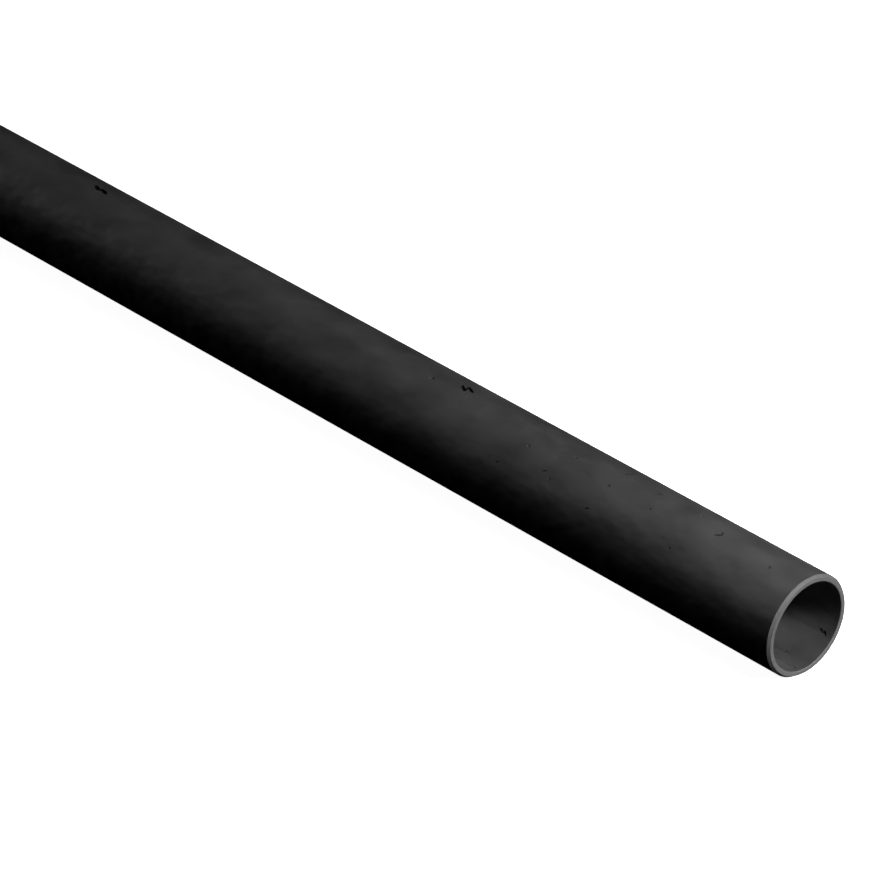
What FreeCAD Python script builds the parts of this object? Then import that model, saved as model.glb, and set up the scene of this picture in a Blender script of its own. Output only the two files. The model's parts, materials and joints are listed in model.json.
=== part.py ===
import FreeCAD, Part
import os

# One straight length of rigid PVC electrical conduit, 25 mm trade size, with two plain ends.
# It is a single extrusion: a round wall with a round bore, sawn square at both ends. The outer edge of
# each end is chamfered, where a coupling is pushed on, and the mouth of the bore is slightly rounded.
#
# The tube lies along X and touches the plane z = 0. The origin is on that plane, below mid-length.

LENGTH = 2000.0
OUTSIDE_DIAMETER = 25.0
WALL = 1.6
CHAMFER_LENGTH = 0.7
CHAMFER_DEPTH = 0.5
BORE_EDGE_RADIUS = 0.3

OUTER_RADIUS = OUTSIDE_DIAMETER / 2
BORE_RADIUS = OUTER_RADIUS - WALL

# Together the two eased edges leave at least a tenth of the wall as flat sawn face.
CHAMFER_WALL_SHARE = 0.6
BORE_EDGE_WALL_SHARE = 0.3
CHAMFER_DEPTH_CUT = min(CHAMFER_DEPTH, CHAMFER_WALL_SHARE * WALL)
BORE_ROUND = min(BORE_EDGE_RADIUS, BORE_EDGE_WALL_SHARE * WALL)

CIRCLE_TOLERANCE = 1e-6


def round_bar(radius):
    """A cylinder of the full length, on the tube's axis."""
    start = FreeCAD.Vector(-LENGTH / 2, 0, OUTER_RADIUS)
    along_x = FreeCAD.Vector(1, 0, 0)
    return Part.makeCylinder(radius, LENGTH, start, along_x)


def rims(shape, radius):
    """The circular edges of the given radius, one at each end of the shape."""
    circles = [edge for edge in shape.Edges if isinstance(edge.Curve, Part.Circle)]
    return [edge for edge in circles if abs(edge.Curve.Radius - radius) < CIRCLE_TOLERANCE]


def end_chamfer(end):
    """What the chamfer takes off the outer edge at the end on the side of X that end, 1 or -1, names."""
    spare = CHAMFER_LENGTH
    sawn = end * LENGTH / 2
    # The taper goes on past the sawn end at the same slope, so that the cut runs clean through it.
    profile = [
        (sawn - end * CHAMFER_LENGTH, OUTER_RADIUS),
        (sawn + end * spare, OUTER_RADIUS - CHAMFER_DEPTH_CUT * (1 + spare / CHAMFER_LENGTH)),
        (sawn + end * spare, OUTER_RADIUS + CHAMFER_DEPTH_CUT),
        (sawn - end * CHAMFER_LENGTH, OUTER_RADIUS + CHAMFER_DEPTH_CUT),
    ]
    corners = [FreeCAD.Vector(x, 0, OUTER_RADIUS + r) for x, r in profile]
    section = Part.Face(Part.makePolygon(corners + corners[:1]))
    axis_point = FreeCAD.Vector(0, 0, OUTER_RADIUS)
    return section.revolve(axis_point, FreeCAD.Vector(1, 0, 0), 360)


def conduit_tube():
    """The extruded wall, with its outer edges chamfered and its bore edges rounded at both ends."""
    tube = round_bar(OUTER_RADIUS).cut(round_bar(BORE_RADIUS))
    tube = tube.makeFillet(BORE_ROUND, rims(tube, BORE_RADIUS))
    for end in (1, -1):
        tube = tube.cut(end_chamfer(end))
    return tube


os.makedirs("parts", exist_ok=True)
conduit_tube().exportStep("parts/conduit_tube.step")
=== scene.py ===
import json
import math

import bmesh
import bpy
from mathutils import Matrix, Vector


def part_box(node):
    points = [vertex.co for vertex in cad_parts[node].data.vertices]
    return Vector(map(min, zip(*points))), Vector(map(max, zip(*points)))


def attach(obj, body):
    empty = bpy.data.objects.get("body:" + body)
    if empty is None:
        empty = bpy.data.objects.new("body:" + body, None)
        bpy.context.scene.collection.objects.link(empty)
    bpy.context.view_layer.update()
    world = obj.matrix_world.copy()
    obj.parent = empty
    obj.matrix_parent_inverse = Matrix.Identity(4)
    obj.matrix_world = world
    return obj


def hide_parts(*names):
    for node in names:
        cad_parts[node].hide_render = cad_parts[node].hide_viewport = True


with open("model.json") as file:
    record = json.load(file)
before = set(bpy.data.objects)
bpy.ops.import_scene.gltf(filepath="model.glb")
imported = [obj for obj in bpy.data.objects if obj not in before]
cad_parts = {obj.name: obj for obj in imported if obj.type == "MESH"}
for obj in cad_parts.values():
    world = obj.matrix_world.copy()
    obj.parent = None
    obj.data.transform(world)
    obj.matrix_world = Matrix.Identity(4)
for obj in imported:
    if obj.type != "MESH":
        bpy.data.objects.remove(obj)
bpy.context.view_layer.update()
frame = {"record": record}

# ---------------------------------------------------------------------------------------------
# The conduit wall: one straight length of rigid black PVC tube, extruded with a round bore and
# sawn square at both ends. The outer edges are chamfered, and the mouth of the bore is slightly rounded.

MM = 0.001
SIDES = 192
RINGS = 40
BORE_EDGE_STEPS = 4
CHAMFER_DEPTH_MM = 0.5
CLOSE_MM = 0.1
SMOOTH_ANGLE = math.radians(35)

tube_low, tube_high = (Vector(corner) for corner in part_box("conduit_tube"))
mounts = {mount["name"]: mount["dims"] for mount in frame["record"]["mounts"]}
length = tube_high.x - tube_low.x
radius = (tube_high.z - tube_low.z) / 2
axis_z = tube_low.z + radius
bore_radius = mounts["bore_x_plus"]["r_mm"] * MM
chamfer = (length - mounts["spigot_x_plus"]["length_mm"] * MM) / 2
bore_round = (length - mounts["bore_x_plus"]["length_mm"] * MM) / 2


def select_in_edit_mode(piece, kind, chosen):
    """Enter edit mode with only those vertices, edges or faces selected for which chosen() holds."""
    bpy.ops.object.mode_set(mode="EDIT")
    bpy.ops.mesh.select_mode(type=kind)
    bpy.ops.mesh.select_all(action="DESELECT")
    mesh = bmesh.from_edit_mesh(piece.data)
    for part in {"VERT": mesh.verts, "EDGE": mesh.edges, "FACE": mesh.faces}[kind]:
        part.select = chosen(part)
    mesh.select_flush_mode()
    bmesh.update_edit_mesh(piece.data)


def distance_from_axis(point):
    return math.hypot(point.y, point.z - axis_z)


def runs_along_the_tube(edge):
    start, end = (vertex.co for vertex in edge.verts)
    return abs(start.x - end.x) > length / 2


def on_sawn_edge(circle_radius):
    """A test for the edges of the circle of this radius at either end of the tube."""

    def test(edge):
        return all(
            abs(abs(vertex.co.x) - length / 2) < CLOSE_MM * MM
            and abs(distance_from_axis(vertex.co) - circle_radius) < CLOSE_MM * MM
            for vertex in edge.verts
        )

    return test


bpy.ops.object.select_all(action="DESELECT")
bpy.ops.mesh.primitive_cylinder_add(
    vertices=SIDES,
    radius=radius,
    depth=length,
    end_fill_type="NOTHING",
    location=(0, 0, axis_z),
    rotation=(0, math.pi / 2, 0),
)
tube = bpy.context.object
tube.name = "conduit_wall"
bpy.ops.object.transform_apply(location=True, rotation=True, scale=True)

select_in_edit_mode(tube, "EDGE", runs_along_the_tube)
bpy.ops.mesh.subdivide(number_cuts=RINGS - 1)
bpy.ops.object.mode_set(mode="OBJECT")

wall = tube.modifiers.new("extruded_wall", "SOLIDIFY")
wall.thickness = radius - bore_radius
wall.offset = -1
wall.use_even_offset = True
bpy.ops.object.modifier_apply(modifier=wall.name)

select_in_edit_mode(tube, "EDGE", on_sawn_edge(radius))
bpy.ops.mesh.bevel(offset=chamfer, segments=1, affect="EDGES")
bpy.ops.object.mode_set(mode="OBJECT")
select_in_edit_mode(tube, "EDGE", on_sawn_edge(radius - chamfer))
widen = (radius - CHAMFER_DEPTH_MM * MM) / (radius - chamfer)
bpy.ops.transform.resize(value=(1, widen, widen), center_override=(0, 0, axis_z))
bpy.ops.object.mode_set(mode="OBJECT")
select_in_edit_mode(tube, "EDGE", on_sawn_edge(bore_radius))
bpy.ops.mesh.bevel(offset=bore_round, segments=BORE_EDGE_STEPS, profile=0.5, affect="EDGES")
bpy.ops.object.mode_set(mode="OBJECT")

# Rigid PVC (uPVC), extruded and coloured through with carbon black. Drawn through the die, it has a
# satin skin, near roughness 0.5, with fine lines along it, shallow blurred waves and patches of sheen.
SKIN_PALE = "#3b3b3b"
SKIN_DARK = "#303030"
PVC_IOR = 1.53
DIE_LINE_MM = 0.35
DIE_LINE_STRETCH = 400
DIE_LINE_HEIGHT_MM = 0.004
PATCH_MM = 7
PATCH_STRETCH = 1.6
PATCH_HEIGHT_MM = 0.7


def linear(hex_colour):
    """An sRGB hex colour as linear RGBA."""
    channels = [int(hex_colour[i:i + 2], 16) / 255 for i in (1, 3, 5)]
    return [c / 12.92 if c <= 0.04045 else ((c + 0.055) / 1.055) ** 2.4 for c in channels] + [1]


def add_node(tree, kind, settings, links=()):
    """Add a node, set its properties or inputs by name, and link (output socket, input) pairs."""
    node = tree.nodes.new("ShaderNode" + kind)
    for name, value in settings.items():
        if hasattr(node, name):
            setattr(node, name, value)
        else:
            node.inputs[name].default_value = value
    for source, target in links:
        tree.links.new(source, node.inputs[target])
    return node


def new_material(name):
    """A material with an empty node tree, and the tree."""
    material = bpy.data.materials.new(name)
    material.use_nodes = True
    material.node_tree.nodes.clear()
    return material, material.node_tree


def per_metre(size_mm, stretch=1):
    """The pattern scale for marks of this size across the tube and stretch times as long along it."""
    scale = 1 / (size_mm * MM)
    return (scale / stretch, scale, scale)


# Noise keeps mostly to the middle of its range, so a blend runs over that middle.
MIDDLE = {"From Min": 0.3, "From Max": 0.7}

skin, tree = new_material("extruded_black_pvc")
place = add_node(tree, "TexCoord", {}).outputs["Object"]
spread = add_node(tree, "Mapping", {"Scale": per_metre(PATCH_MM, PATCH_STRETCH)}, [(place, "Vector")])
patches = add_node(tree, "TexNoise", {"Scale": 1.0, "Detail": 2.0}, [(spread.outputs[0], "Vector")])
drawn = add_node(tree, "Mapping", {"Scale": per_metre(DIE_LINE_MM, DIE_LINE_STRETCH)}, [(place, "Vector")])
die_lines = add_node(tree, "TexNoise", {"Scale": 1.0, "Detail": 2.0}, [(drawn.outputs[0], "Vector")])
blend = add_node(tree, "MapRange", MIDDLE, [(patches.outputs["Fac"], "Value")])
colour = add_node(tree, "ValToRGB", {}, [(blend.outputs["Result"], "Fac")])
colour.color_ramp.elements[0].color = linear(SKIN_DARK)
colour.color_ramp.elements[1].color = linear(SKIN_PALE)
sheen = add_node(
    tree, "MapRange", MIDDLE | {"To Min": 0.48, "To Max": 0.6}, [(patches.outputs["Fac"], "Value")]
)
waves = add_node(
    tree, "Bump", {"Strength": 1.0, "Distance": PATCH_HEIGHT_MM * MM}, [(patches.outputs["Fac"], "Height")]
)
lines = add_node(
    tree,
    "Bump",
    {"Strength": 0.5, "Distance": DIE_LINE_HEIGHT_MM * MM},
    [(die_lines.outputs["Fac"], "Height"), (waves.outputs["Normal"], "Normal")],
)
shader = add_node(
    tree,
    "BsdfPrincipled",
    {"IOR": PVC_IOR},
    [
        (colour.outputs["Color"], "Base Color"),
        (sheen.outputs["Result"], "Roughness"),
        (lines.outputs["Normal"], "Normal"),
    ],
)
add_node(tree, "OutputMaterial", {}, [(shader.outputs["BSDF"], "Surface")])

# Sawn rigid PVC: the blade and the chamfering tool cut the skin away, and the fresh, torn grain is
# matt, near roughness 0.7, and greyer than the skin.
SAWN_PALE = "#4d4d4d"
SAWN_DARK = "#424242"
GRAIN_MM = 0.6
GRAIN_HEIGHT_MM = 0.03

sawn, tree = new_material("sawn_black_pvc")
place = add_node(tree, "TexCoord", {}).outputs["Object"]
spread = add_node(tree, "Mapping", {"Scale": per_metre(GRAIN_MM)}, [(place, "Vector")])
grain = add_node(tree, "TexNoise", {"Scale": 1.0, "Detail": 4.0}, [(spread.outputs[0], "Vector")])
blend = add_node(tree, "MapRange", MIDDLE, [(grain.outputs["Fac"], "Value")])
colour = add_node(tree, "ValToRGB", {}, [(blend.outputs["Result"], "Fac")])
colour.color_ramp.elements[0].color = linear(SAWN_DARK)
colour.color_ramp.elements[1].color = linear(SAWN_PALE)
matt = add_node(
    tree, "MapRange", MIDDLE | {"To Min": 0.64, "To Max": 0.76}, [(grain.outputs["Fac"], "Value")]
)
bump = add_node(
    tree, "Bump", {"Strength": 0.5, "Distance": GRAIN_HEIGHT_MM * MM}, [(grain.outputs["Fac"], "Height")]
)
shader = add_node(
    tree,
    "BsdfPrincipled",
    {"IOR": PVC_IOR},
    [
        (colour.outputs["Color"], "Base Color"),
        (matt.outputs["Result"], "Roughness"),
        (bump.outputs["Normal"], "Normal"),
    ],
)
add_node(tree, "OutputMaterial", {}, [(shader.outputs["BSDF"], "Surface")])

# Torn rigid PVC in the hollows of the marks, coloured darker than the skin as painted shade: a nick is
# painted near black, a scuff dark grey, and a dent only a little darker than the skin. All are rough,
# near 0.9, and nicks and scuffs shine less than dents.
NICK_SHADE_BLACKS = ("#040404", "#0a0a0a")
SCUFF_SHADE_BLACKS = ("#202020", "#2c2c2c")
DENT_SHADE_BLACKS = ("#2e2e2e", "#363636")
GRIT_MM = 0.3
GRIT_HEIGHT_MM = 0.05


def shade_painted_pvc(name, darkest, palest, shine):
    """The rough floor of a mark, mottled between two blacks of painted shade."""
    material, tree = new_material(name)
    place = add_node(tree, "TexCoord", {}).outputs["Object"]
    spread = add_node(tree, "Mapping", {"Scale": per_metre(GRIT_MM)}, [(place, "Vector")])
    grit = add_node(tree, "TexNoise", {"Scale": 1.0, "Detail": 3.0}, [(spread.outputs[0], "Vector")])
    blend = add_node(tree, "MapRange", MIDDLE, [(grit.outputs["Fac"], "Value")])
    colour = add_node(tree, "ValToRGB", {}, [(blend.outputs["Result"], "Fac")])
    colour.color_ramp.elements[0].color = linear(darkest)
    colour.color_ramp.elements[1].color = linear(palest)
    matt = add_node(
        tree, "MapRange", MIDDLE | {"To Min": 0.8, "To Max": 0.95}, [(grit.outputs["Fac"], "Value")]
    )
    bump = add_node(
        tree, "Bump", {"Strength": 0.8, "Distance": GRIT_HEIGHT_MM * MM}, [(grit.outputs["Fac"], "Height")]
    )
    shader = add_node(
        tree,
        "BsdfPrincipled",
        {"IOR": PVC_IOR, "Specular IOR Level": shine},
        [
            (colour.outputs["Color"], "Base Color"),
            (matt.outputs["Result"], "Roughness"),
            (bump.outputs["Normal"], "Normal"),
        ],
    )
    add_node(tree, "OutputMaterial", {}, [(shader.outputs["BSDF"], "Surface")])
    return material


# The floors of the nicks, scuffs and dents take these painted-shade blacks.
nicked = shade_painted_pvc("nicked_black_pvc", *NICK_SHADE_BLACKS, shine=0.1)
scuffed = shade_painted_pvc("scuffed_black_pvc", *SCUFF_SHADE_BLACKS, shine=0.1)
dented = shade_painted_pvc("dented_black_pvc", *DENT_SHADE_BLACKS, shine=0.3)
for material in (skin, sawn, nicked, scuffed, dented):
    tube.data.materials.append(material)


def is_sawn(face):
    """An end face or a chamfer, and not the round at the mouth of the bore."""
    middle = face.calc_center_median()
    return abs(middle.x) > length / 2 - chamfer and distance_from_axis(middle) > bore_radius + 0.01 * MM


select_in_edit_mode(tube, "FACE", is_sawn)
tube.active_material_index = 1
bpy.ops.object.material_slot_assign()
bpy.ops.object.mode_set(mode="OBJECT")

# The marks of handling: each is a small hollow cut out of the wall, given by its distance from the
# +X end in millimetres and its turn from the top, towards -Y, in degrees.
NICKS = [
    {"route": [(112.2, -7), (110.3, -1), (110.7, -10), (108.3, -5)], "width": 0.85, "depth": 0.4},
    {"route": [(244.3, -8), (242.9, -4), (241.6, -7), (239.8, -4)], "width": 1.3, "depth": 0.5},
    {"route": [(58.7, -6), (57.9, -17)], "width": 0.25, "depth": 0.1},
]
SCUFFS = [
    {"route": [(27.2, 9), (25.9, 5), (26.4, 1)], "width": 0.6, "depth": 0.16},
    {"route": [(89.1, 56), (88.1, 53.2)], "width": 0.4, "depth": 0.15},
    {"route": [(75.8, 40), (75.0, 37.4)], "width": 0.45, "depth": 0.15},
    {"route": [(60.2, 52.9), (59.2, 50.1)], "width": 0.45, "depth": 0.15},
    {"route": [(47.9, -3.5), (47.1, -6.7)], "width": 0.6, "depth": 0.2},
]
DENTS = [
    (9.9, 12.4, 0.6), (73.0, 43.8, 0.45), (34.3, 46.9, 0.45), (83.6, 22.9, 0.5), (71.3, 7.0, 0.4),
    (58.5, 18.9, 0.45), (45.3, 19.5, 0.4), (34.9, -8.8, 0.4), (119.7, 5.9, 0.7),
]
BORE_SCUFFS = [
    {"route": [(4.1, 234), (3.2, 231), (2.6, 233), (2.2, 230)], "width": 0.5, "depth": 0.2},
]
BORE_SPECKS = [(1.6, 170, 0.35)]
BORE_DENTS = [(7.5, 187, 0.35)]
DENT_DEPTH_SHARE = 0.28


def on_wall(from_end_mm, turn, wall_radius):
    """The point of the wall at this distance and turn, and the way outwards there."""
    turn = math.radians(turn)
    across = Vector((0, -math.sin(turn), math.cos(turn)))
    return Vector((tube_high.x - from_end_mm * MM, 0, axis_z)) + across * wall_radius, across


def gouge(near, far, wall_radius, width, depth, material):
    """A slim ellipsoid along the wall, from one place to the other, that reaches depth into it."""
    (a, up_a), (b, up_b) = (on_wall(*spot, wall_radius) for spot in (near, far))
    outward = (up_a + up_b).normalized()
    along = (b - a).normalized() if (b - a).length > 0 else Vector((1, 0, 0))
    side = outward.cross(along).normalized()
    bpy.ops.mesh.primitive_uv_sphere_add(segments=10, ring_count=7, radius=1)
    cutter = bpy.context.object
    turn = Matrix((along, side, outward)).transposed().to_4x4()
    size = Matrix.Diagonal(((b - a).length / 2 + width / 2, width / 2, depth, 1))
    cutter.matrix_world = Matrix.Translation((a + b) / 2) @ turn @ size
    cutter.data.materials.append(material)
    return cutter


cutters = []
for strokes, wall_radius, material in (
    (NICKS, radius, nicked),
    (SCUFFS, radius, scuffed),
    (BORE_SCUFFS, bore_radius, scuffed),
):
    for stroke in strokes:
        width, depth = stroke["width"] * MM, stroke["depth"] * MM
        for near, far in zip(stroke["route"], stroke["route"][1:]):
            cutters.append(gouge(near, far, wall_radius, width, depth, material))
for spots, wall_radius, material in (
    (DENTS, radius, dented),
    (BORE_SPECKS, bore_radius, scuffed),
    (BORE_DENTS, bore_radius, dented),
):
    for from_end_mm, turn, spot_radius in spots:
        spot = (from_end_mm, turn)
        width, depth = 2 * spot_radius * MM, DENT_DEPTH_SHARE * spot_radius * MM
        cutters.append(gouge(spot, spot, wall_radius, width, depth, material))

bpy.ops.object.select_all(action="DESELECT")
for cutter in cutters:
    cutter.select_set(True)
bpy.context.view_layer.objects.active = cutters[0]
bpy.ops.object.join()
tool = bpy.context.object

bpy.ops.object.select_all(action="DESELECT")
tube.select_set(True)
bpy.context.view_layer.objects.active = tube
cut = tube.modifiers.new("marks", "BOOLEAN")
cut.object = tool
cut.operation = "DIFFERENCE"
cut.solver = "EXACT"
cut.use_self = True
cut.material_mode = "TRANSFER"
bpy.ops.object.modifier_apply(modifier=cut.name)
bpy.data.objects.remove(tool)
bpy.ops.object.shade_smooth_by_angle(angle=SMOOTH_ANGLE)

# The skin laid flat for baking: strips of the outside, then of the bore, one above the other, with
# the two end faces beside them.
STRIPS = 4
SHEET_MM = 610
SHEET_GAP_MM = 2
FACING_END = 0.5

strip_length = length / STRIPS
outside_height = STRIPS * (2 * math.pi * radius + SHEET_GAP_MM * MM)
sheet = tube.data.uv_layers.new(name="OFBake")
tube.data.uv_layers.active = sheet
for face in tube.data.polygons:
    if abs(face.normal.x) > FACING_END:
        corner_x = strip_length + 3 * radius
        corner_y = 2 * radius if face.center.x > 0 else 5 * radius
        for corner in face.loop_indices:
            point = tube.data.vertices[tube.data.loops[corner].vertex_index].co
            flat = Vector((corner_x + point.y, corner_y + point.z - axis_z))
            sheet.data[corner].uv = flat / (SHEET_MM * MM)
        continue
    inside = distance_from_axis(face.center) < (radius + bore_radius) / 2
    wall_radius = bore_radius if inside else radius
    strip = min(int((face.center.x + length / 2) / strip_length), STRIPS - 1)
    row_height = 2 * math.pi * wall_radius + SHEET_GAP_MM * MM
    row = strip * row_height + (outside_height if inside else 0)
    middle = math.atan2(face.center.y, face.center.z - axis_z)
    for corner in face.loop_indices:
        point = tube.data.vertices[tube.data.loops[corner].vertex_index].co
        turn = math.atan2(point.y, point.z - axis_z)
        turn += 2 * math.pi * round((middle - turn) / (2 * math.pi))
        across = point.x + length / 2 - strip * strip_length
        flat = Vector((across + SHEET_GAP_MM * MM, row + (turn + math.pi) * wall_radius))
        sheet.data[corner].uv = flat / (SHEET_MM * MM)

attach(tube, "root")
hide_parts("conduit_tube")

# ---------------------------------------------------------------------------------------------
# The setting: a white paper floor and surround that only the camera sees as white, so that the black
# underside of the tube stays black, soft boxes gathered over the open end, and the camera.

PAPER_WHITE = "#f4f4f4"
PAPER_UNDERSIDE = "#080808"
PAPER_GLOW = 0.97
FLOOR_WIDTH = 400
CAMERA_LENS_MM = 216.9
CAMERA_BEYOND_END = (0.64356, -0.7224, 0.6447)
CAMERA_DOWN = 31.677
CAMERA_TURN = 46.585

bpy.ops.mesh.primitive_plane_add(size=FLOOR_WIDTH)
floor = bpy.context.object
floor.name = "floor"
paper, tree = new_material("white_paper")
path = add_node(tree, "LightPath", {})
glow = add_node(tree, "Emission", {"Strength": PAPER_GLOW})
lit = add_node(tree, "BsdfDiffuse", {"Color": linear(PAPER_WHITE)})
seen = add_node(tree, "AddShader", {}, [(glow.outputs[0], 0), (lit.outputs[0], 1)])
dark = add_node(tree, "BsdfDiffuse", {"Color": linear(PAPER_UNDERSIDE)})
mix = add_node(
    tree,
    "MixShader",
    {},
    [(path.outputs["Is Camera Ray"], "Fac"), (dark.outputs[0], 1), (seen.outputs[0], 2)],
)
add_node(tree, "OutputMaterial", {}, [(mix.outputs[0], "Surface")])
floor.data.materials.append(paper)

open_end = Vector((tube_high.x, 0, axis_z))
camera_data = bpy.data.cameras.new("camera")
camera_data.lens = CAMERA_LENS_MM
camera_data.sensor_width = 36
camera_data.clip_start = 0.05
camera_data.clip_end = 200
camera = bpy.data.objects.new("camera", camera_data)
camera.location = open_end + Vector(CAMERA_BEYOND_END)
camera.rotation_euler = (math.radians(90 - CAMERA_DOWN), 0, math.radians(CAMERA_TURN))
bpy.context.collection.objects.link(camera)
bpy.context.scene.camera = camera


def softbox(name, beyond_end, turn, height, size, plain_level, aim_beyond_end=0.0):
    """A square lamp turned behind the vertical, at this height, that lights its aim to this level."""
    turn = math.radians(turn)
    place = open_end + Vector((beyond_end, height * math.sin(turn), height * math.cos(turn)))
    aim = open_end + Vector((aim_beyond_end, 0, 0))
    lamp = bpy.data.lights.new(name, "AREA")
    lamp.size = size
    # At this power a white surface that faces the lamp renders white at level 1.
    lamp.energy = (math.pi * (place - aim).length) ** 2 * plain_level
    lamp_object = bpy.data.objects.new(name, lamp)
    lamp_object.location = place
    lamp_object.rotation_euler = (aim - place).to_track_quat("-Z", "Y").to_euler()
    bpy.context.collection.objects.link(lamp_object)


softbox("main", beyond_end=0.27, turn=20, height=0.19, size=0.06, plain_level=1.9)
softbox("front", beyond_end=0.38, turn=8, height=0.27, size=0.1, plain_level=0.63)
softbox("near", beyond_end=-0.03, turn=-4, height=0.2, size=0.08, plain_level=0.19)
softbox("low_back", beyond_end=-3.2, turn=-25, height=0.35, size=0.4, plain_level=0.2)
softbox("broad", beyond_end=-1, turn=25, height=2, size=1.6, plain_level=0.08, aim_beyond_end=-1)

world = bpy.data.worlds.new("studio")
world.use_nodes = True
tree = world.node_tree
tree.nodes.clear()
path = add_node(tree, "LightPath", {})
sky = add_node(tree, "Background", {"Strength": 1.0}, [(path.outputs["Is Camera Ray"], "Color")])
add_node(tree, "OutputWorld", {}, [(sky.outputs[0], "Surface")])
bpy.context.scene.world = world

bpy.context.scene.view_settings.view_transform = "Standard"
